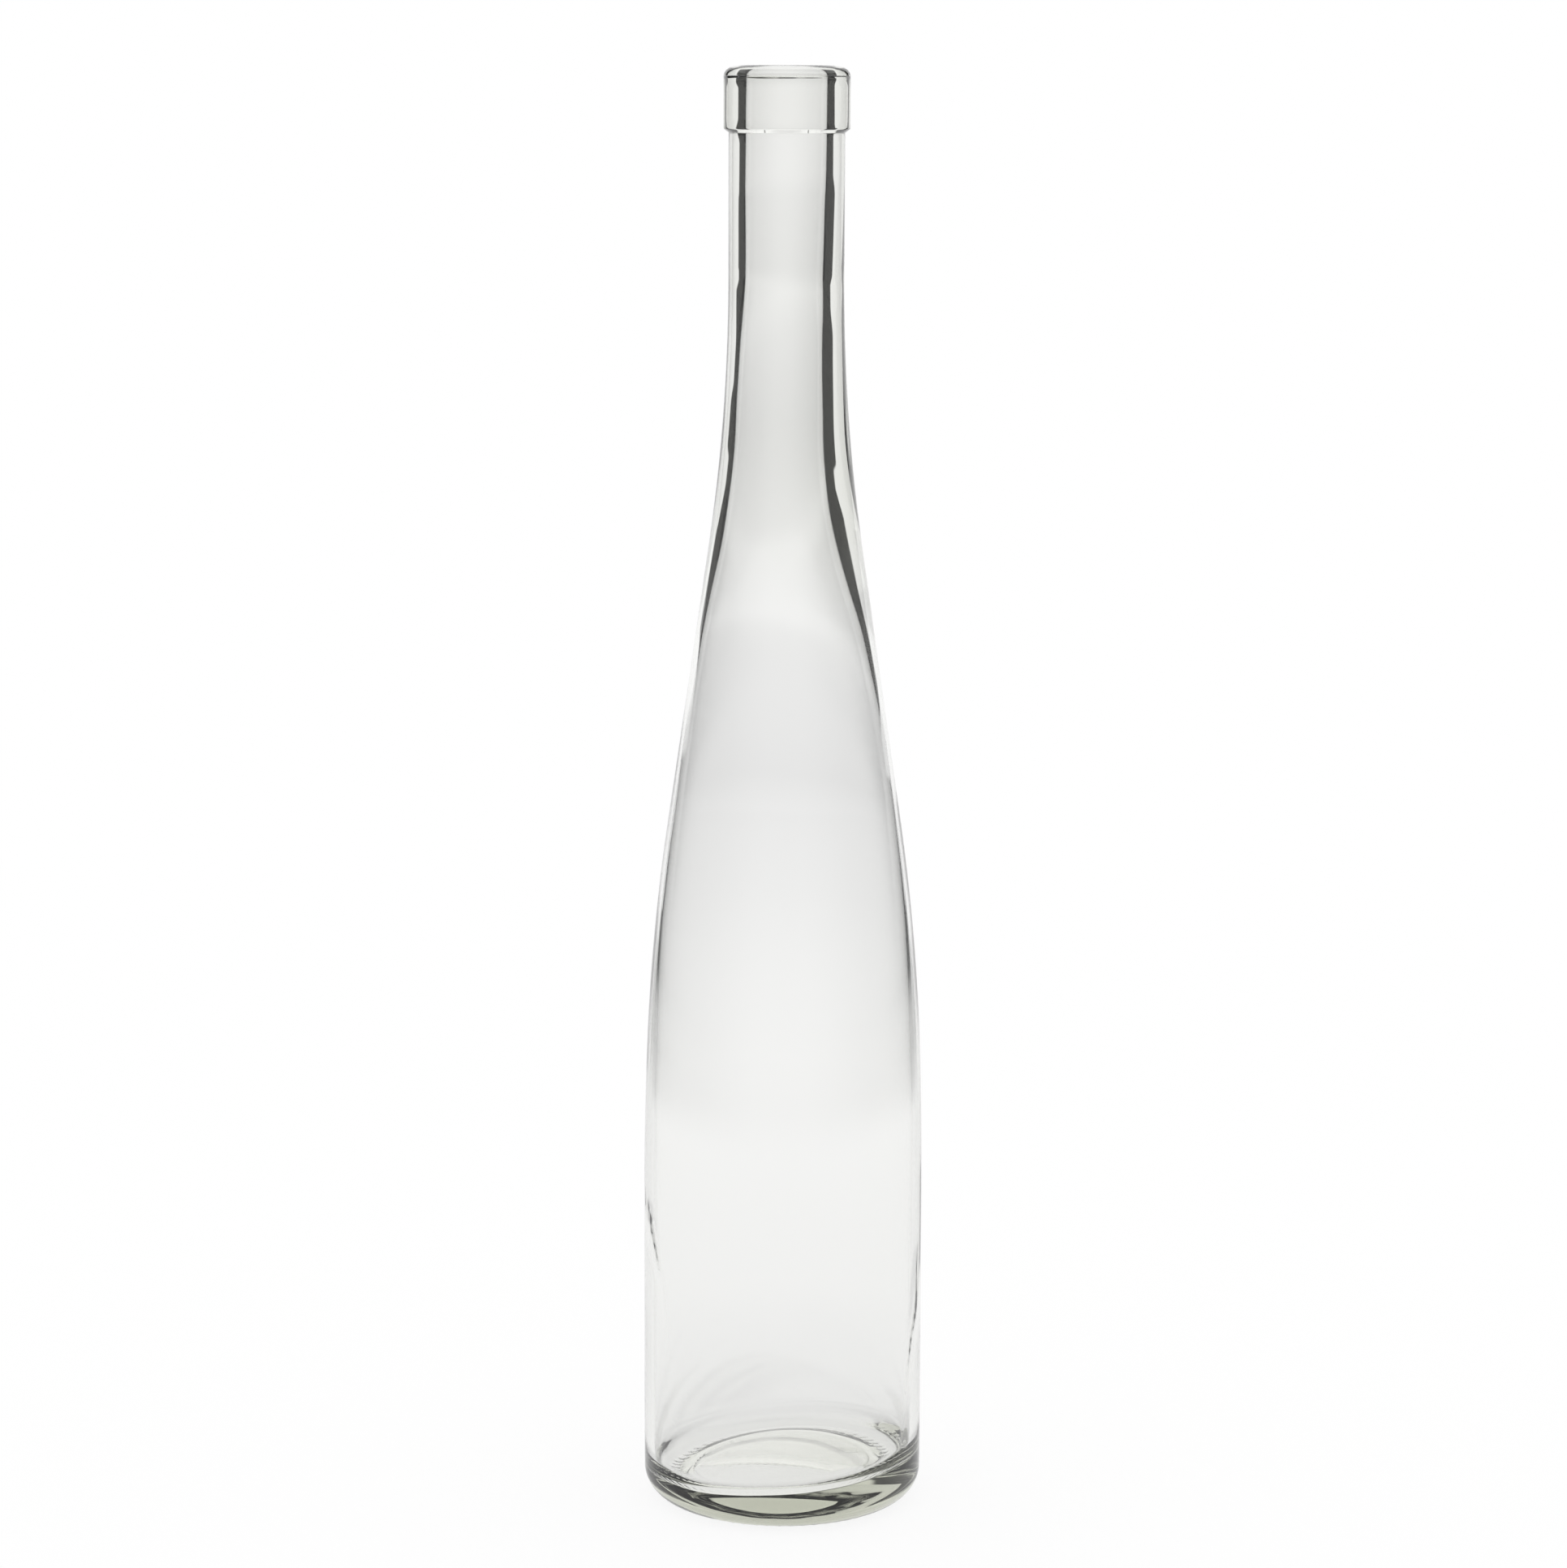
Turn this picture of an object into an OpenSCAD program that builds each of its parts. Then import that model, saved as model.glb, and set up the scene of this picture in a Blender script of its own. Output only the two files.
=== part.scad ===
// Slim half-litre flute bottle of clear glass, with an open cork mouth.
// Millimetres, +Z up. The origin is the centre of the ring that the bottle stands on.
// The bottle is one piece of glass, so it is one outline turned about its axis:
// up the outside from the stand ring, over the lip and down the inside.

/* [Overall] */
// Height from the table to the crest of the lip
overall_h = 335; // [325:1:350]

/* [Body] */
// Diameter of the label panel, the widest part
body_d = 65.3; // [64:0.1:68]
// Height where the straight label panel ends
panel_top = 72; // [66:1:78]
// Radius of the heel between the panel and the stand ring
heel_r = 7.2; // [6:0.1:8]

/* [Shoulder] */
// Radius of the slow arc that leaves the panel
ease_r = 970; // [900:10:1000]
// Degrees that the slow arc turns through
ease_turn = 2.24; // [2:0.02:2.4]
// Radius of the shoulder arc above it
shoulder_r = 479; // [460:1:490]
// Lean of the straight flank from upright, in degrees
flank_lean = 8.3; // [8.2:0.1:9]
// Radius of the hollow arc where the flank becomes the neck
neck_root_r = 421; // [400:1:440]

/* [Neck and mouth] */
// Outside diameter of the neck
neck_d = 26.45; // [26.2:0.05:26.8]
// Outside diameter of the band round the mouth
band_d = 28.8; // [28:0.1:29.6]
// Height of the band, with its lip and lower rounding
band_h = 15.5; // [12:0.5:18]
// Diameter of the bore that takes the cork
bore_d = 18.5; // [18.4:0.1:19]
// Length of that bore, down from the crest of the lip
bore_len = 30; // [25:1:35]
// Diameter inside the neck, below the bore
throat_d = 18; // [17.8:0.1:18.2]

/* [Glass] */
// Thickness of the wall behind the label panel
body_wall = 2.3; // [2:0.1:2.6]
// Lean of the inner flank, steeper than the outer, so the wall thickens upwards
inner_lean = 12.3; // [12.2:0.1:13]
// Radius of the inner shoulder arc
inner_shoulder_r = 611; // [600:1:620]
// Radius of the inner arc below the throat
inner_root_r = 250; // [240:1:260]

/* [Base] */
// Width of the flat ring that the bottle stands on
stand_w = 1.6; // [1.2:0.1:2.4]
// Rise from the stand ring to the edge of the push-up
step_h = 2.6; // [2:0.1:3]
// Width of that rise
step_w = 4.2; // [3.5:0.1:5]
// Height of the push-up at its centre
push_up_h = 4.8; // [4:0.1:6]
// Height of the inner floor beside the wall
floor_h = 6; // [5.5:0.1:7]
// Height of the inner floor at its centre
floor_centre_h = 10; // [9.5:0.1:11]
// Radius between the inner floor and the wall
floor_r = 5.5; // [4.5:0.1:6.5]

/* [Hidden] */

$fn = 180;
arc_steps = 12;
glass = [0.86, 0.92, 0.88, 0.45];

body_r = body_d / 2;
neck_r = neck_d / 2;
band_r = band_d / 2;
bore_r = bore_d / 2;
throat_r = throat_d / 2;
hollow_r = body_r - body_wall;

// The slow inner arc starts a little above the panel's end
inner_ease_r = ease_r - 206;
inner_ease_turn = 2.86;
inner_ease_z = panel_top + 4;
throat_taper = 15;

// Rounding of the lip: a small round at the bore, a flat dome, then the outer corner
lip_bore_round = 0.65;
lip_dome_r = 9;
lip_dome_turn = 17.5;
lip_corner_r = 2.2;
band_foot_r = 1.2;
band_foot_fillet = 0.6;

stand_out_r = body_r - heel_r;
stand_in_r = stand_out_r - stand_w;
push_up_r = stand_in_r - step_w;

// A point on a circle, by its centre, radius and the angle from outwards
function on_circle(c, r, a) = c + r * [cos(a), sin(a)];

// Points of an arc from angle a to angle b
function arc(c, r, a, b) = [for (i = [0:arc_steps]) on_circle(c, r, a + (b - a) * i / arc_steps)];

// Radius of the circle through the edge of a dome and its crest
function dome_r(edge_r, rise) = (edge_r * edge_r + rise * rise) / (2 * rise);

// A shallow dome from its edge in to the axis
function dome_in(edge_r, edge_z, rise) =
    let (r = dome_r(edge_r, rise), half = asin(edge_r / r))
    arc([0, edge_z + rise - r], r, 90 - half, 90);

// The run from a wide cylinder up to a narrow one: a slow arc, a shoulder arc,
// a straight flank and a hollow arc, each tangent to the next
function taper(wide_r, z, slow_r, slow_turn, turn_r, lean, narrow_r, root_r) =
    let (
        slow_c = [wide_r - slow_r, z],
        slow_end = on_circle(slow_c, slow_r, slow_turn),
        turn_c = on_circle(slow_end, -turn_r, slow_turn),
        flank_foot = on_circle(turn_c, turn_r, lean),
        flank_top_r = narrow_r + root_r * (1 - cos(lean)),
        flank_top_z = flank_foot[1] + (flank_foot[0] - flank_top_r) / tan(lean),
        root_c = [narrow_r + root_r, flank_top_z + root_r * sin(lean)]
    )
    concat(
        arc(slow_c, slow_r, 0, slow_turn),
        arc(turn_c, turn_r, slow_turn, lean),
        arc(root_c, root_r, 180 + lean, 180)
    );

function stand_and_heel() = concat(
    [[stand_in_r, 0]],
    arc([stand_out_r, heel_r], heel_r, -90, 0)
);

// The band's lower edge rounds in to the neck with a small fillet
function band_foot() = let (z = overall_h - band_h) concat(
    arc([neck_r + band_foot_fillet, z], band_foot_fillet, 180, 90),
    arc([band_r - band_foot_r, z + band_foot_fillet + band_foot_r], band_foot_r, -90, 0)
);

function lip() =
    let (
        crest = [bore_r + lip_bore_round, overall_h],
        dome_c = crest - [0, lip_dome_r],
        dome_end = on_circle(dome_c, lip_dome_r, 90 - lip_dome_turn),
        corner_top = band_r - lip_corner_r * (1 - sin(lip_dome_turn)),
        flat = corner_top - dome_end[0],
        corner_c = on_circle([corner_top, dome_end[1] - flat * tan(lip_dome_turn)],
                             -lip_corner_r, 90 - lip_dome_turn)
    )
    concat(
        arc(corner_c, lip_corner_r, 0, 90 - lip_dome_turn),
        arc(dome_c, lip_dome_r, 90 - lip_dome_turn, 90),
        arc(crest - [0, lip_bore_round], lip_bore_round, 90, 180)
    );

function reversed(list) = [for (i = [len(list) - 1:-1:0]) list[i]];

// The hollow, from the end of the bore down to the centre of the floor
function bore_and_throat() = [
    [bore_r, overall_h - bore_len],
    [throat_r, overall_h - bore_len - throat_taper]
];

function hollow_wall() = reversed(
    taper(hollow_r, inner_ease_z, inner_ease_r, inner_ease_turn,
          inner_shoulder_r, inner_lean, throat_r, inner_root_r)
);

function floor_outline() = let (edge_r = hollow_r - floor_r) concat(
    arc([edge_r, floor_h + floor_r], floor_r, 0, -90),
    dome_in(edge_r - 1, floor_h, floor_centre_h - floor_h)
);

// The underside: from the centre of the push-up out to its edge and down to the ring
function push_up() = concat(
    reversed(dome_in(push_up_r, step_h, push_up_h - step_h)),
    [[stand_in_r - 0.8, 0.5]]
);

module bottle() {
    color(glass)
        rotate_extrude()
            polygon(concat(
                push_up(),
                stand_and_heel(),
                taper(body_r, panel_top, ease_r, ease_turn, shoulder_r, flank_lean, neck_r, neck_root_r),
                band_foot(),
                lip(),
                bore_and_throat(),
                hollow_wall(),
                floor_outline()
            ));
}

bottle();
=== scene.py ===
# A slim half-litre flute bottle of clear glass with an open cork mouth, on a white sweep.
# Metres, +Z up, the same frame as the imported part: the origin is the middle of the stand ring.
import math

import bpy
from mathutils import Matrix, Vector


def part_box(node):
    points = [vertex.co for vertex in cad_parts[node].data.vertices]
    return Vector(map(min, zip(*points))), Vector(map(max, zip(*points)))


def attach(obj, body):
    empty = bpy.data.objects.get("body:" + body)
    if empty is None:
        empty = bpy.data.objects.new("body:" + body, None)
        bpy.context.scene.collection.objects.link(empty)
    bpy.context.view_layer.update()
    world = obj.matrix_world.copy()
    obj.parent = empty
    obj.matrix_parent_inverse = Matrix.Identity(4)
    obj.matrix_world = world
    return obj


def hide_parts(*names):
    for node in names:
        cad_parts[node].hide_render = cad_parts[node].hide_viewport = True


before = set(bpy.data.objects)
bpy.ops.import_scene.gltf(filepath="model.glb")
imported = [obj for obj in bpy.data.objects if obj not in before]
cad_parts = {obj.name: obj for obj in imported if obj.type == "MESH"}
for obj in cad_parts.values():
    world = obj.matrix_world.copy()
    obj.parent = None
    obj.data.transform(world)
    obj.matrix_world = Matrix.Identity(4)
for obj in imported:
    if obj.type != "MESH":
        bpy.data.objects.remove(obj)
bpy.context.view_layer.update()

mm = 0.001


lowCorner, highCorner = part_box("bottle")
bottleHeight = highCorner.z
bodyRadius = highCorner.x


# Node helpers

class Wire:
    # A socket that can stand in a sum
    def __init__(self, tree, socket):
        self.tree = tree
        self.socket = socket

    def math(self, operation, *others):
        return self.tree.add("ShaderNodeMath", {"operation": operation}, [self, *others])

    def __add__(self, other):
        return self.math("ADD", other)

    def __sub__(self, other):
        return self.math("SUBTRACT", other)

    def __mul__(self, other):
        return self.math("MULTIPLY", other)

    def __truediv__(self, other):
        return self.math("DIVIDE", other)

    def __rsub__(self, other):
        return self.tree.add("ShaderNodeMath", {"operation": "SUBTRACT"}, [other, self])

    def __gt__(self, other):
        return self.math("GREATER_THAN", other)

    __radd__ = __add__
    __rmul__ = __mul__


class Tree:
    # A node tree of either kind, with one method that makes its nodes
    def __init__(self, tree):
        self.tree = tree
        tree.nodes.clear()

    def add(self, kind, settings=None, values=(), output=0):
        node = self.tree.nodes.new(kind)
        for name, value in (settings or {}).items():
            if name == "stops":
                self.setStops(node.color_ramp, value)
            else:
                setattr(node, name, value)
        pairs = values.items() if isinstance(values, dict) else enumerate(values)
        for key, value in pairs:
            if isinstance(value, Wire):
                self.tree.links.new(value.socket, node.inputs[key])
            elif value is not None:
                node.inputs[key].default_value = value
        outputs = [socket for socket in node.outputs if socket.enabled]
        if not outputs:
            return node
        found = outputs[output] if isinstance(output, int) else node.outputs[output]
        return Wire(self, found)

    def setStops(self, ramp, stops):
        while len(ramp.elements) > 1:
            ramp.elements.remove(ramp.elements[-1])
        for i, (place, colour) in enumerate(stops):
            stop = ramp.elements[0] if i == 0 else ramp.elements.new(place)
            stop.position = place
            stop.color = (*colour, 1)

    def smooth(self, value, low, high):
        # 0 below low, 1 above high, smooth between them
        return self.add("ShaderNodeMapRange", {"interpolation_type": "SMOOTHSTEP"},
                        {"Value": value, "From Min": low, "From Max": high})


# Camera: the photograph's view, from a little above the lip and looking down at the foot

cameraView = {
    "place": (-0.00024, -1.0015, 0.3325),
    "pitch": 9.195,       # degrees down from level
    "roll": 0.21,         # degrees, the bottle leans a hair to the right
    "lens": 100.43,
    "sensor": 36,
}


def makeCamera():
    data = bpy.data.cameras.new("camera")
    data.sensor_fit = "HORIZONTAL"
    data.sensor_width = cameraView["sensor"]
    data.lens = cameraView["lens"]
    data.clip_start = 0.01
    camera = bpy.data.objects.new("camera", data)
    bpy.context.scene.collection.objects.link(camera)
    camera.location = cameraView["place"]
    tilt = math.radians(90 - cameraView["pitch"])
    camera.rotation_mode = "XYZ"
    camera.rotation_euler = (tilt, 0, 0)
    camera.rotation_euler.rotate_axis("Z", math.radians(cameraView["roll"]))
    bpy.context.scene.camera = camera


makeCamera()
print("camera ready")


# The bottle's outline, drawn once from the push-up out, over the lip and down to the inner floor

bottleSizes = {
    "panelTop": 72 * mm,         # the straight label panel ends here
    "heelRadius": 7.2 * mm,
    "easeRadius": 970 * mm,      # a slow arc leaves the panel
    "easeTurn": 2.24,            # degrees
    "shoulderRadius": 479 * mm,
    "flankLean": 8.3,            # degrees from upright
    "neckRootRadius": 421 * mm,
    "neckRadius": 13.225 * mm,
    "bandRadius": 14.4 * mm,     # the band round the mouth
    "bandHeight": 15.2 * mm,
    "bandFoot": 1.25 * mm,       # height of the slope under the band
    "bandRound": 0.6 * mm,       # round at the top of that slope
    "bandFillet": 0.2 * mm,
    "filletEnd": 130,            # the fillet stops at this angle, and the round starts at the next
    "roundStart": -45,
    "seamDrop": 2.6 * mm,        # the mould seam is this far below the lip
    "seamRise": 0.02 * mm,
    "seamWidth": 0.25 * mm,
    "lipCorner": 2.2 * mm,
    "lipDome": 9 * mm,
    "lipTurn": 17.5,
    "lipBore": 0.65 * mm,
    "boreRadius": 9.25 * mm,
    "boreLength": 27 * mm,
    "throatTaper": 21 * mm,
    "throatRadius": 8.85 * mm,
    "throatDraft": 2,            # degrees that the throat opens downwards
    "wall": 2.3 * mm,
    "innerEaseZ": 76 * mm,
    "innerEaseRadius": 764 * mm,
    "innerEaseTurn": 2.86,
    "innerShoulderRadius": 611 * mm,
    "innerLean": 12.3,
    "innerRootRadius": 160 * mm,
    "floorRadius": 5.5 * mm,     # round between wall and inner floor
    "floorHeight": 8 * mm,
    "floorCentre": 11.5 * mm,
    "standWidth": 1.6 * mm,      # the ring that it stands on
    "stepHeight": 2.6 * mm,
    "stepWidth": 4.2 * mm,
    "pushUp": 4.8 * mm,
    "slopeIn": 0.8 * mm,         # the slope to the push-up begins this far in and up from the ring
    "slopeUp": 0.5 * mm,
    "shortStep": 0.02 * mm,      # points nearer than this to the last one are left out
    "ringStep": 0.5 * mm,
    "fineStep": 0.6 * mm,        # longest stretch between two points, on the heel and the lip
    "pushUpStep": 1.1 * mm,
    "floorStep": 1.3 * mm,
    "longStep": 2.7 * mm,        # and everywhere else
    "turnStep": 7,               # largest turn between two points, in degrees
}


def onCircle(centre, radius, angle):
    turn = math.radians(angle)
    return centre[0] + radius * math.cos(turn), centre[1] + radius * math.sin(turn)


class Outline:
    # Points of the outline as (radius, height), each with a share: 0 on the outside, 1 in the hollow
    def __init__(self):
        self.points = []
        self.shares = []

    def put(self, point, share):
        if self.points and math.dist(self.points[-1], point) < bottleSizes["shortStep"]:
            return
        self.points.append(point)
        self.shares.append(share)

    def line(self, end, share=0, step=None):
        start = self.points[-1]
        step = step or bottleSizes["longStep"]
        count = max(1, math.ceil(math.dist(start, end) / step))
        for i in range(1, count + 1):
            part = i / count
            self.put((start[0] + (end[0] - start[0]) * part, start[1] + (end[1] - start[1]) * part), share)

    def arc(self, centre, radius, first, last, share=0, step=None):
        step = step or bottleSizes["longStep"]
        turn = abs(last - first)
        length = abs(radius) * math.radians(turn)
        start = onCircle(centre, radius, first)
        if self.points:
            self.line(start, share)
        count = math.ceil(max(length / step, turn / bottleSizes["turnStep"]))
        for i in range(count + 1):
            self.put(onCircle(centre, radius, first + (last - first) * i / count), share)


def taperArcs(wide, height, slow, slowTurn, turn, lean, narrow, root):
    # Slow arc, shoulder arc and hollow arc, each tangent to the next, as (centre, radius, from, to)
    slowCentre = (wide - slow, height)
    slowEnd = onCircle(slowCentre, slow, slowTurn)
    turnCentre = onCircle(slowEnd, -turn, slowTurn)
    foot = onCircle(turnCentre, turn, lean)
    topRadius = narrow + root * (1 - math.cos(math.radians(lean)))
    topHeight = foot[1] + (foot[0] - topRadius) / math.tan(math.radians(lean))
    rootCentre = (narrow + root, topHeight + root * math.sin(math.radians(lean)))
    return [
        (slowCentre, slow, 0, slowTurn),
        (turnCentre, turn, slowTurn, lean),
        (rootCentre, root, 180 + lean, 180),
    ]


def drawUnderside(outline):
    s = bottleSizes
    ringOut = bodyRadius - s["heelRadius"]
    ringIn = ringOut - s["standWidth"]
    edge = ringIn - s["stepWidth"]
    rise = s["pushUp"] - s["stepHeight"]
    domeRadius = (edge * edge + rise * rise) / (2 * rise)
    half = math.degrees(math.asin(edge / domeRadius))
    outline.arc((0, s["pushUp"] - domeRadius), domeRadius, 90, 90 - half, step=s["pushUpStep"])
    outline.line((ringIn - s["slopeIn"], s["slopeUp"]), step=s["fineStep"])
    outline.line((ringIn, 0), step=s["ringStep"])
    outline.arc((ringOut, s["heelRadius"]), s["heelRadius"], -90, 0, step=s["fineStep"])


def drawOutside(outline):
    s = bottleSizes
    for arc in taperArcs(bodyRadius, s["panelTop"], s["easeRadius"], s["easeTurn"], s["shoulderRadius"],
                         s["flankLean"], s["neckRadius"], s["neckRootRadius"]):
        outline.arc(*arc)
    foot = bottleHeight - s["bandHeight"]
    fillet, bend = s["bandFillet"], s["bandRound"]
    outline.arc((s["neckRadius"] + fillet, foot), fillet, 180, s["filletEnd"])
    outline.arc((s["bandRadius"] - bend, foot + s["bandFoot"]), bend, s["roundStart"], 0)
    seam = bottleHeight - s["seamDrop"]
    outline.line((s["bandRadius"], seam - s["seamWidth"]))
    outline.line((s["bandRadius"] + s["seamRise"], seam))
    outline.line((s["bandRadius"], seam + s["seamWidth"]))


def drawLip(outline):
    s = bottleSizes
    crest = (s["boreRadius"] + s["lipBore"], bottleHeight)
    domeCentre = (crest[0], crest[1] - s["lipDome"])
    domeEnd = onCircle(domeCentre, s["lipDome"], 90 - s["lipTurn"])
    turn = math.radians(s["lipTurn"])
    cornerTop = s["bandRadius"] - s["lipCorner"] * (1 - math.sin(turn))
    flat = cornerTop - domeEnd[0]
    corner = onCircle((cornerTop, domeEnd[1] - flat * math.tan(turn)), -s["lipCorner"], 90 - s["lipTurn"])
    outline.arc(corner, s["lipCorner"], 0, 90 - s["lipTurn"])
    outline.arc(domeCentre, s["lipDome"], 90 - s["lipTurn"], 90, step=s["fineStep"])
    outline.arc((crest[0], crest[1] - s["lipBore"]), s["lipBore"], 90, 180)


def betweenLines(first, firstLean, second, secondLean, radius):
    # Centre of the arc that touches two leaning lines, each given by a point and its lean in degrees
    rows = []
    for point, lean in ((first, firstLean), (second, secondLean)):
        turn = math.radians(lean)
        out, up = math.cos(turn), math.sin(turn)
        rows.append((out, up, radius + point[0] * out + point[1] * up))
    (a, b, c), (d, e, f) = rows
    scale = a * e - b * d
    return (c * e - b * f) / scale, (a * f - c * d) / scale


def drawHollow(outline):
    s = bottleSizes
    inside = bodyRadius - s["wall"]
    boreEnd = bottleHeight - s["boreLength"]
    throat = (s["throatRadius"], boreEnd - s["throatTaper"])
    outline.line((s["boreRadius"], boreEnd), share=1)
    outline.line(throat, share=1)
    shoulder = taperArcs(inside, s["innerEaseZ"], s["innerEaseRadius"], s["innerEaseTurn"],
                         s["innerShoulderRadius"], s["innerLean"], s["throatRadius"],
                         s["innerRootRadius"])[:2]
    foot = onCircle(shoulder[1][0], shoulder[1][1], s["innerLean"])
    root = betweenLines(throat, s["throatDraft"], foot, s["innerLean"], s["innerRootRadius"])
    outline.arc(root, s["innerRootRadius"], 180 + s["throatDraft"], 180 + s["innerLean"], share=1)
    for centre, radius, first, last in reversed(shoulder):
        outline.arc(centre, radius, last, first, share=1)
    edge = inside - s["floorRadius"]
    outline.arc((edge, s["floorHeight"] + s["floorRadius"]), s["floorRadius"], 0, -90, share=1,
                step=s["fineStep"])
    rise = s["floorCentre"] - s["floorHeight"]
    domeRadius = (edge * edge + rise * rise) / (2 * rise)
    half = math.degrees(math.asin(edge / domeRadius))
    outline.arc((0, s["floorCentre"] - domeRadius), domeRadius, 90 - half, 90, share=1, step=s["floorStep"])


def makeOutline():
    outline = Outline()
    drawUnderside(outline)
    drawOutside(outline)
    drawLip(outline)
    drawHollow(outline)
    data = bpy.data.meshes.new("outline")
    places = [(radius, 0, height) for radius, height in outline.points]
    data.from_pydata(places, [(i, i + 1) for i in range(len(places) - 1)], [])
    shares = data.attributes.new("inside", "FLOAT", "POINT")
    shares.data.foreach_set("value", outline.shares)
    piece = bpy.data.objects.new("outline", data)
    bpy.context.scene.collection.objects.link(piece)
    print("outline:", len(places), "points")
    return piece


# The bottle: the outline turned about its axis, with the flaws of blown glass

blownGlass = {
    "Segments": 256,
    "Hollow shift": 1.13 * mm,       # the neck's hollow sits off centre, towards -X
    "Shift height": 240 * mm,
    "Shift below": 36 * mm,          # how far the shift reaches down and up
    "Shift above": 48 * mm,
    "Flank thinning": 0.65 * mm,     # the flank's wall is this much thinner than the design
    "Flank foot": 100 * mm,          # it begins here, is full between the next two and ends at the last
    "Flank low": 140 * mm,
    "Flank high": 205 * mm,
    "Flank top": 228 * mm,
    "Floor tilt": 2.3 * mm,          # the inner floor is this much lower at -X, higher at +X
    "Tilt full": 12 * mm,            # the tilt is full up to here and ends at the next
    "Tilt end": 60 * mm,
    "Fold width": 0.4 * mm,
    "Fold front": 0.05,              # the folds fade out over this share of the depth, at the middle
    "Waves": 0.1 * mm,               # how far the inner wall waves in and out
    "Wave foot": 14 * mm,            # the waves begin here and are full at the next
    "Wave full": 30 * mm,
    "Wave scale": 1.6,
    "Wave detail": 1.5,
    "Wave round": 0.9,               # how fast the waves change round the bottle, and up it
    "Wave climb": 14.0,
    "Floor waves": 0.7 * mm,         # how far the rim of the inner floor waves up and down
    "Rim low": 10 * mm,              # those waves are full below this and end at the next
    "Rim high": 18 * mm,
    "Rim inner": 15 * mm,            # and grow between these two radii
    "Rim outer": 26 * mm,
    "Knurls": 64,                    # short ridges round the stand ring
    "Knurl depth": 0.22 * mm,
    "Knurl full": 0.3 * mm,          # they are full up to here and end at the next
    "Knurl top": 0.9 * mm,
    "Knurl inner": 22.5 * mm,        # they rise between these two radii
    "Knurl outer": 23.6 * mm,
    "Merge": 0.002 * mm,             # points of the seam and the poles nearer than this become one
    "Seed": 4.0,
}

# Folds in the inner wall: where each runs, as (height, x), and how deep it is, as (height, depth), in mm
folds = [
    ([(30, -26.2), (46, -26.1), (52, -26.5), (57, -27.5), (65, -29.4), (71, -30.7), (75, -31.2)],
     [(30, 0), (40, 0.05), (52, 0.08), (58, 0.1), (62, 0.24), (67, 0.24), (72, 0)]),
    ([(8, 26.9), (21, 27.3), (39, 28.9), (46, 29.9), (62, 30.4)],
     [(8, 0), (16, 0.05), (36, 0.06), (44, 0.18), (56, 0.15), (64, 0)]),
]


def curve(tree, height, stops):
    # A smooth run through the stops, in mm
    heights = [place * mm for place, change in stops]
    changes = [change for place, change in stops]
    foot, reach = heights[0], heights[-1] - heights[0]
    least, spread = min(changes), max(changes) - min(changes)
    marks = []
    for place, change in zip(heights, changes):
        share = (change - least) / spread
        marks.append(((place - foot) / reach, (share, share, share)))
    ramp = tree.add("ShaderNodeValToRGB", {"stops": marks}, [(height - foot) / reach], "Color")
    ramp.socket.node.color_ramp.interpolation = "B_SPLINE"
    return ramp * spread + least


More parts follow.
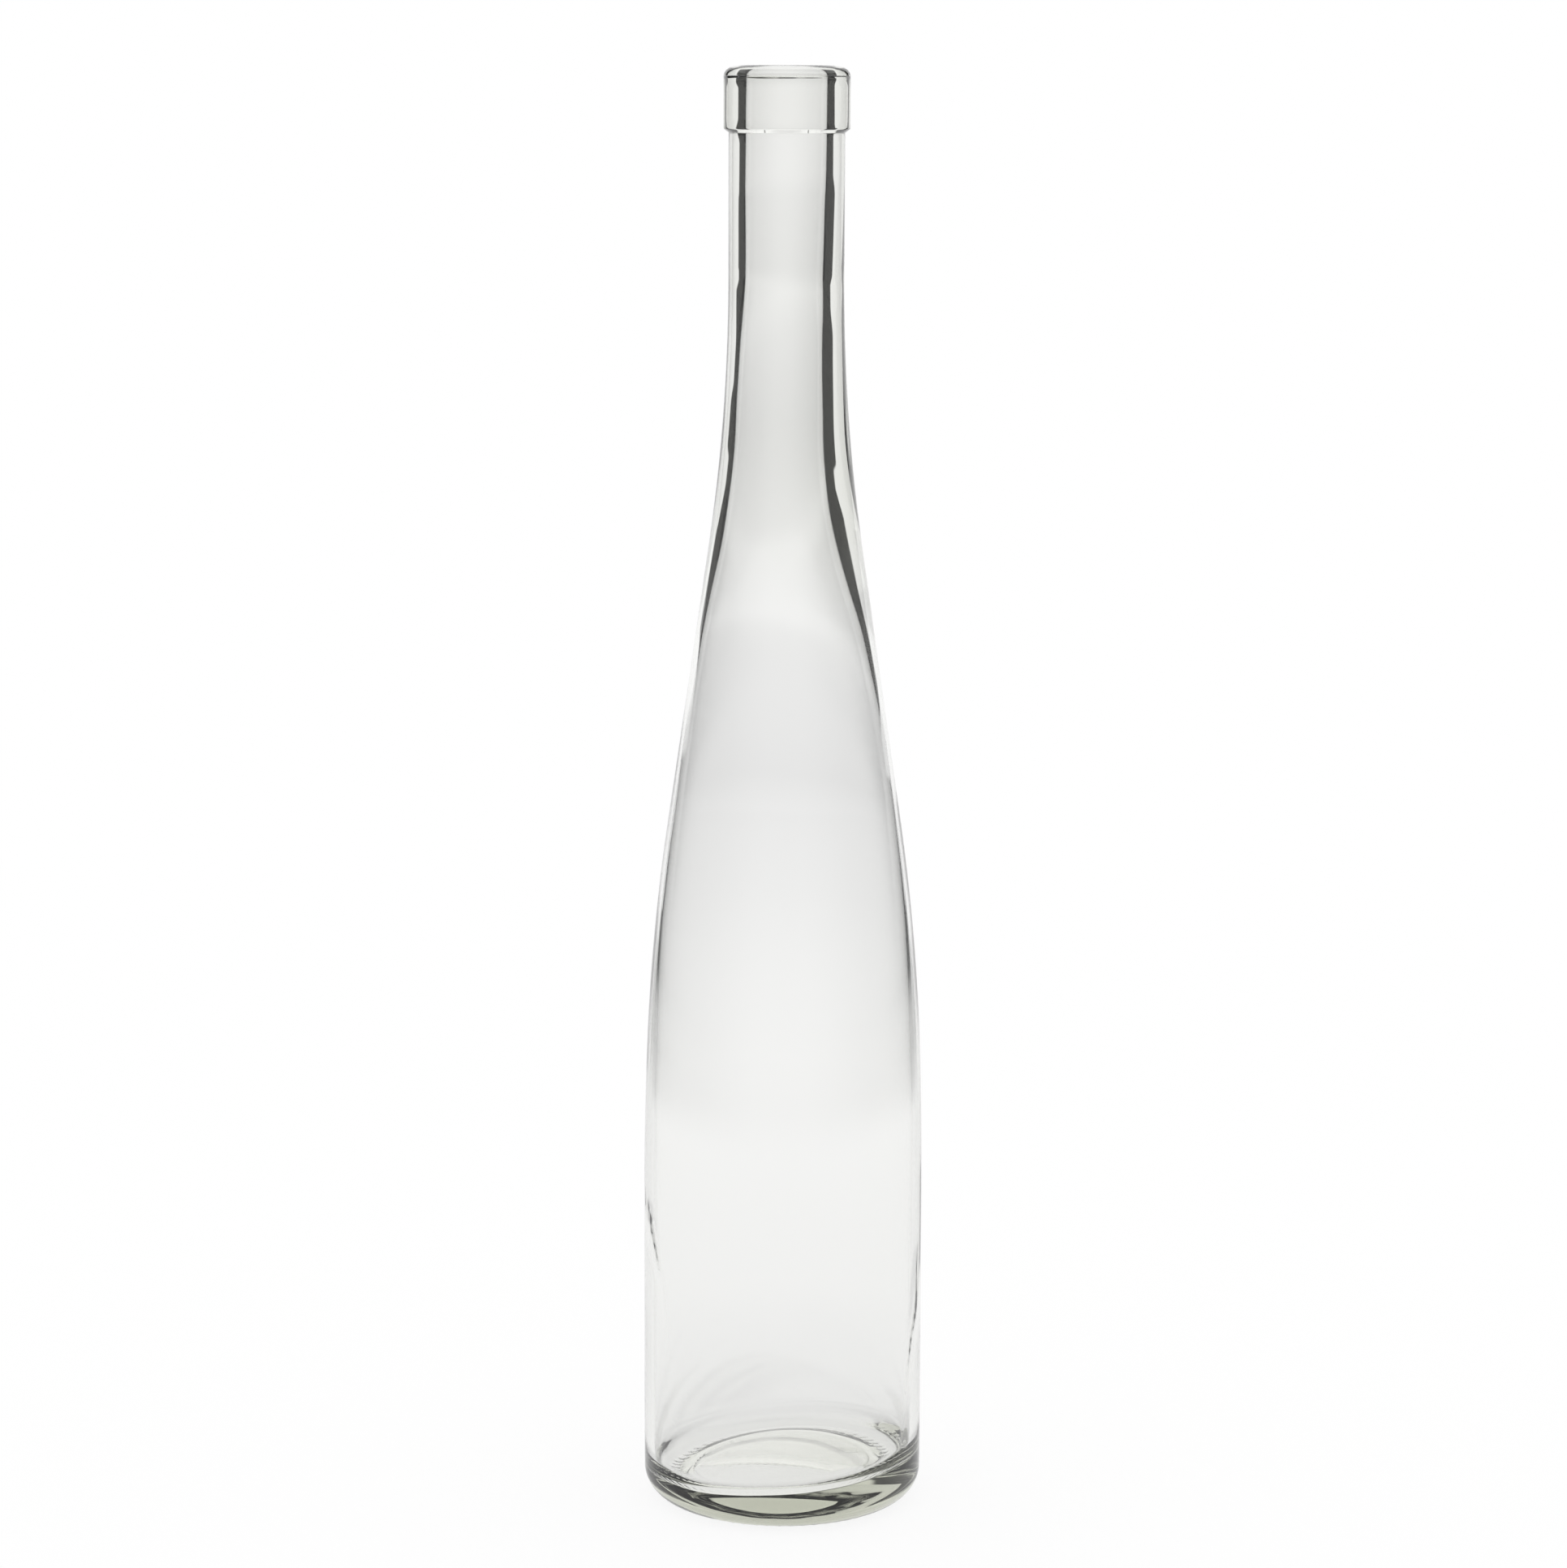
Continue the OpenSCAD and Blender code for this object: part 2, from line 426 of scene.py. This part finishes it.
def bottleTree(glass):
    group = bpy.data.node_groups.new("turnedBottle", "GeometryNodeTree")
    face = group.interface
    face.new_socket("Geometry", in_out="INPUT", socket_type="NodeSocketGeometry")
    for name, value in blownGlass.items():
        kind = "NodeSocketInt" if isinstance(value, int) else "NodeSocketFloat"
        face.new_socket(name, in_out="INPUT", socket_type=kind)
    face.new_socket("Glass", in_out="INPUT", socket_type="NodeSocketMaterial")
    face.new_socket("Geometry", in_out="OUTPUT", socket_type="NodeSocketGeometry")
    tree = Tree(group)
    given = group.nodes.new("NodeGroupInput")
    value = {socket.name: Wire(tree, socket) for socket in given.outputs if socket.name}

    # A flat grid, one column for each segment and one row for each point of the outline
    rows = tree.add("GeometryNodeAttributeDomainSize", {"component": "MESH"}, {"Geometry": value["Geometry"]})
    grid = tree.add("GeometryNodeMeshGrid", None,
                    {"Vertices X": value["Segments"] + 1, "Vertices Y": rows})
    index = tree.add("GeometryNodeInputIndex")
    column = ((index + 0.5) / rows).math("FLOOR")
    row = index - column * rows
    angle = column / value["Segments"] * math.tau
    position = tree.add("GeometryNodeInputPosition")
    place = tree.add("GeometryNodeSampleIndex", {"data_type": "FLOAT_VECTOR"},
                     {"Geometry": value["Geometry"], "Value": position, "Index": row})
    share = tree.add("GeometryNodeInputNamedAttribute", {"data_type": "FLOAT"}, {"Name": "inside"})
    inside = tree.add("GeometryNodeSampleIndex", {"data_type": "FLOAT"},
                      {"Geometry": value["Geometry"], "Value": share, "Index": row})
    radius = tree.add("ShaderNodeSeparateXYZ", None, [place], "X")
    height = tree.add("ShaderNodeSeparateXYZ", None, [place], "Z")

    # The hollow leans off centre in the neck
    above = height > value["Shift height"]
    reach = value["Shift below"] + (value["Shift above"] - value["Shift below"]) * above
    away = (height - value["Shift height"]) / reach
    bell = (away * away * -1).math("EXPONENT")
    shift = inside * bell * value["Hollow shift"]

    # The flank's wall is thin
    flank = tree.smooth(height, value["Flank foot"], value["Flank low"])
    flank = flank * (1 - tree.smooth(height, value["Flank high"], value["Flank top"]))
    radius = radius + inside * flank * value["Flank thinning"]

    # The inner wall waves a little, and has a fold low on each side
    across = angle.math("COSINE")
    back = angle.math("SINE")
    spot = tree.add("ShaderNodeCombineXYZ", None, [across * value["Wave round"],
                                                        back * value["Wave round"],
                                                        height * value["Wave climb"]])
    noise = tree.add("ShaderNodeTexNoise", {"noise_dimensions": "4D"},
                     {"Vector": spot, "W": value["Seed"], "Scale": value["Wave scale"],
                      "Detail": value["Wave detail"]})
    wave = (noise - 0.5) * 2
    upward = tree.smooth(height, value["Wave foot"], value["Wave full"])
    radius = radius + inside * wave * value["Waves"] * upward
    front = tree.smooth(back * -1, 0, value["Fold front"])
    for run, depth in folds:
        aside = (radius * across - curve(tree, height, run) * mm) / value["Fold width"]
        ridge = (aside * aside * -1).math("EXPONENT") * curve(tree, height, depth) * mm
        radius = radius - inside * front * ridge

    # The inner floor is lower on one side, and its rim is uneven
    x = radius * across
    y = radius * back
    low = 1 - tree.smooth(height, value["Tilt full"], value["Tilt end"])
    tilt = inside * low * value["Floor tilt"] * x / (bodyRadius - bottleSizes["wall"])
    onFloor = inside * (1 - tree.smooth(height, value["Rim low"], value["Rim high"]))
    onRim = onFloor * tree.smooth(radius, value["Rim inner"], value["Rim outer"])
    lump = onRim * wave * value["Floor waves"]

    # Knurls on the inner half of the stand ring
    under = (1 - inside) * (1 - tree.smooth(height, value["Knurl full"], value["Knurl top"]))
    under = under * tree.smooth(radius, value["Knurl inner"], value["Knurl outer"])
    knurl = under * ((angle * value["Knurls"]).math("SINE") * 0.5 + 0.5) * value["Knurl depth"]
    turned = tree.add("ShaderNodeCombineXYZ", None, [x - shift, y, height + tilt + lump + knurl])
    shell = tree.add("GeometryNodeSetPosition", None, {"Geometry": grid, "Position": turned})
    shell = tree.add("GeometryNodeMergeByDistance", None, {"Geometry": shell, "Distance": value["Merge"]})
    shell = tree.add("GeometryNodeSetShadeSmooth", None, {"Geometry": shell})
    shell = tree.add("GeometryNodeRealizeInstances", None, {"Geometry": shell})
    shell = tree.add("GeometryNodeSetMaterial", None, {"Geometry": shell, "Material": value["Glass"]})
    tree.add("NodeGroupOutput", None, [shell])
    return group


def setInputs(modifier, values):
    for item in modifier.node_group.interface.items_tree:
        if item.in_out == "INPUT" and item.name in values:
            modifier[item.identifier] = values[item.name]


def bake(piece, name):
    # The evaluated shape as a plain mesh, in an object without the modifier
    graph = bpy.context.evaluated_depsgraph_get()
    data = bpy.data.meshes.new_from_object(piece.evaluated_get(graph), depsgraph=graph)
    data.name = name
    made = bpy.data.objects.new(name, data)
    bpy.context.scene.collection.objects.link(made)
    bpy.data.objects.remove(piece)
    return made


def makeBottle(glass):
    outline = makeOutline()
    modifier = outline.modifiers.new("turned", "NODES")
    modifier.node_group = bottleTree(glass)
    setInputs(modifier, {**blownGlass, "Glass": glass})
    piece = bake(outline, "glass_bottle")
    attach(piece, "root")
    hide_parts("bottle")
    print("bottle:", len(piece.data.vertices), "points,", len(piece.data.polygons), "faces")
    return piece


# Materials

glassLook = {
    "index": 1.52,
    "tint": (0.902, 0.906, 0.877),
    "density": 100.0,
    "haze": 0.01,                # roughness of the cloudy patches
    "cloudScale": 60.0,
    "cloudDetail": 3.0,
    "cloudEdge": (0.5, 0.8),     # noise where a patch begins and is full
    "scuff": 0.35,               # roughness where the stand ring is worn
    "scuffFoot": 0.1 * mm,
    "scuffTop": 0.7 * mm,
    "grainScale": 900.0,
    "grainDetail": 4.0,
    "grainEdge": (0.35, 0.6),    # noise where a scuff begins and is full
}


def clearGlass():
    material = bpy.data.materials.new("clear_glass")
    material.use_nodes = True
    tree = Tree(material.node_tree)
    place = tree.add("ShaderNodeTexCoord", output="Object")
    height = tree.add("ShaderNodeSeparateXYZ", None, [place], "Z")
    look = glassLook
    grain, cloud = [tree.add("ShaderNodeTexNoise", None,
                             {"Vector": place, "Scale": look[name + "Scale"], "Detail": look[name + "Detail"]})
                    for name in ("grain", "cloud")]
    worn = 1 - tree.smooth(height, look["scuffFoot"], look["scuffTop"])
    scuffed = worn * tree.smooth(grain, *look["grainEdge"])
    haze = tree.smooth(cloud, *look["cloudEdge"]) * look["haze"]
    surface = tree.add("ShaderNodeBsdfPrincipled", None, {
        "Base Color": (1, 1, 1, 1),
        "Roughness": haze + scuffed * look["scuff"],
        "IOR": look["index"],
        "Transmission Weight": 1.0,
    })
    inner = tree.add("ShaderNodeVolumeAbsorption", None,
                     {"Color": (*look["tint"], 1), "Density": look["density"]})
    tree.add("ShaderNodeOutputMaterial", None, {"Surface": surface, "Volume": inner})
    return material


studio = {
    "sweep": 41,            # degrees from +Y to each edge of the white sweep, at the level
    "sweepHigh": 28,        # the same above the level
    "sweepLow": 31,         # the same below the level
    "sweepBlur": 2,         # half the width of that edge
    "lowEdge": (-4.5, -2),  # degrees up between which the lower width gives way to the level's
    "highEdge": (0, 3),     # and the level's to the upper
    "ceiling": (24, 34),    # degrees up where the white ceiling begins and is full
    "rearFrom": 95,         # degrees from +Y where the pale room behind the camera begins
    "rearFull": 168,        # and where it is full
    "rearLevel": 0.6,
    "room": 0.05,           # the dark room between them
    "table": 0.9,           # radius of the table, in metres
    "tableWhite": 0.42,     # it is white up to here in a mirrored ray
    "tableDark": 0.62,      # and like the room from here
    "tableLevel": 0.92,
    "tableSides": 96,
    "paper": 0.13,          # the share of the table's white that takes the bottle's shadow
    # What a ray sees after passing through glass, by degrees up: painted shade, darkest about 9 degrees below
    # the level and from 2.5 to 7 above, a painted pool of light at the level, and brighter than white high up
    "through": [(-12, 0.94), (-9, 0.82), (-5, 0.87), (-3, 0.91), (-1.2, 0.975),
                (0, 0.975), (2.5, 0.90), (7, 0.90), (14, 0.98), (20, 1.1)],   # degrees up, level
    # What a ray sees of the table after passing through glass, by metres from the middle: a painted shadow,
    # darkest beside the bottle, and painted shade that darkens again towards the rim
    "paintedTableShade": [(0.04, 0.80), (0.10, 0.86), (0.18, 0.92), (0.45, 0.97), (0.57, 0.94), (0.72, 0.90),
                     (0.9, 0.86)],   # metres away, level
}


def blend(share, first, second):
    # second where share is 1, first where it is 0
    return first + (second - first) * share


def levels(tree, value, stops):
    low, high = stops[0][0], stops[-1][0]
    spread = [((place - low) / (high - low), (level, level, level)) for place, level in stops]
    ramp = tree.add("ShaderNodeValToRGB", {"stops": spread}, [(value - low) / (high - low)], "Color")
    return tree.add("ShaderNodeRGBToBW", None, [ramp])


def paths(tree):
    # True for a ray that has been mirrored, and for one that has passed through glass
    mirrored = tree.add("ShaderNodeLightPath", output="Glossy Depth") > 0.5
    passed = tree.add("ShaderNodeLightPath", output="Transmission Depth") > 0.5
    return mirrored, passed


def sector(tree, x, y, edge):
    # What a mirrored ray sees by its direction round the bottle: white ahead, pale behind, dark between
    around = x.math("ABSOLUTE").math("ARCTAN2", y) * (180 / math.pi)
    ahead = 1 - tree.smooth(around - edge, -studio["sweepBlur"], studio["sweepBlur"])
    behind = tree.smooth(around, studio["rearFrom"], studio["rearFull"])
    return ahead, behind


def mirroredLevel(ahead, behind):
    return studio["room"] + ahead * (1 - studio["room"]) + behind * (studio["rearLevel"] - studio["room"])


def makeWorld():
    world = bpy.data.worlds.new("studio")
    bpy.context.scene.world = world
    world.use_nodes = True
    tree = Tree(world.node_tree)
    way = tree.add("ShaderNodeTexCoord", output="Generated")
    x, y, z = [tree.add("ShaderNodeSeparateXYZ", None, [way], axis) for axis in "XYZ"]
    up = z.math("ARCSINE") * (180 / math.pi)
    edge = blend(tree.smooth(up, *studio["lowEdge"]), studio["sweepLow"], studio["sweep"])
    edge = blend(tree.smooth(up, *studio["highEdge"]), edge, studio["sweepHigh"])
    ahead, behind = sector(tree, x, y, edge)
    inMirror = blend(tree.smooth(up, *studio["ceiling"]), mirroredLevel(ahead, behind), 1)
    mirrored, passed = paths(tree)
    # A ray from the camera sees plain white; one that has passed through glass sees the painted shade and
    # light of those bands
    plain = blend(passed, 1, levels(tree, up, studio["through"]))
    light = tree.add("ShaderNodeBackground", None,
                     {"Color": (1, 1, 1, 1), "Strength": blend(mirrored, plain, inMirror)})
    tree.add("ShaderNodeOutputWorld", None, {"Surface": light})


def tablePaper():
    material = bpy.data.materials.new("table_paper")
    material.use_nodes = True
    tree = Tree(material.node_tree)
    place = tree.add("ShaderNodeTexCoord", output="Object")
    away = tree.add("ShaderNodeVectorMath", {"operation": "LENGTH"}, [place], "Value")
    mirrored, passed = paths(tree)
    x, y = [tree.add("ShaderNodeSeparateXYZ", None, [place], axis) for axis in "XY"]
    far = tree.smooth(away, studio["tableWhite"], studio["tableDark"])
    inMirror = blend(far, studio["tableLevel"], mirroredLevel(*sector(tree, x, y, studio["sweepLow"])))
    # Through glass the table shows that painted shadow and shade; in a mirror it is pale near the bottle and
    # like the room further out
    seen = blend(mirrored, levels(tree, away, studio["paintedTableShade"]), inMirror)
    glow = tree.add("ShaderNodeEmission", None, {"Color": (1, 1, 1, 1), "Strength": seen})
    share = studio["paper"]
    ownGlow = tree.add("ShaderNodeEmission", None, {"Color": (1, 1, 1, 1), "Strength": 1 - share})
    paper = tree.add("ShaderNodeBsdfDiffuse", None, {"Color": (share, share, share, 1)})
    direct = tree.add("ShaderNodeAddShader", None, [ownGlow, paper])
    throughGlass = mirrored.math("MAXIMUM", passed)
    mixed = tree.add("ShaderNodeMixShader", None, [throughGlass, direct, glow])
    tree.add("ShaderNodeOutputMaterial", None, {"Surface": mixed})
    return material


def makeFloor():
    count = studio["tableSides"]
    turns = [math.tau * i / count for i in range(count)]
    data = bpy.data.meshes.new("floor")
    rim = [(studio["table"] * math.cos(turn), studio["table"] * math.sin(turn), 0) for turn in turns]
    data.from_pydata(rim, [], [list(range(count))])
    data.materials.append(tablePaper())
    floor = bpy.data.objects.new("floor", data)
    bpy.context.scene.collection.objects.link(floor)


makeWorld()
makeFloor()
print("studio ready")
makeBottle(clearGlass())

scene = bpy.context.scene
scene.view_settings.view_transform = "Standard"
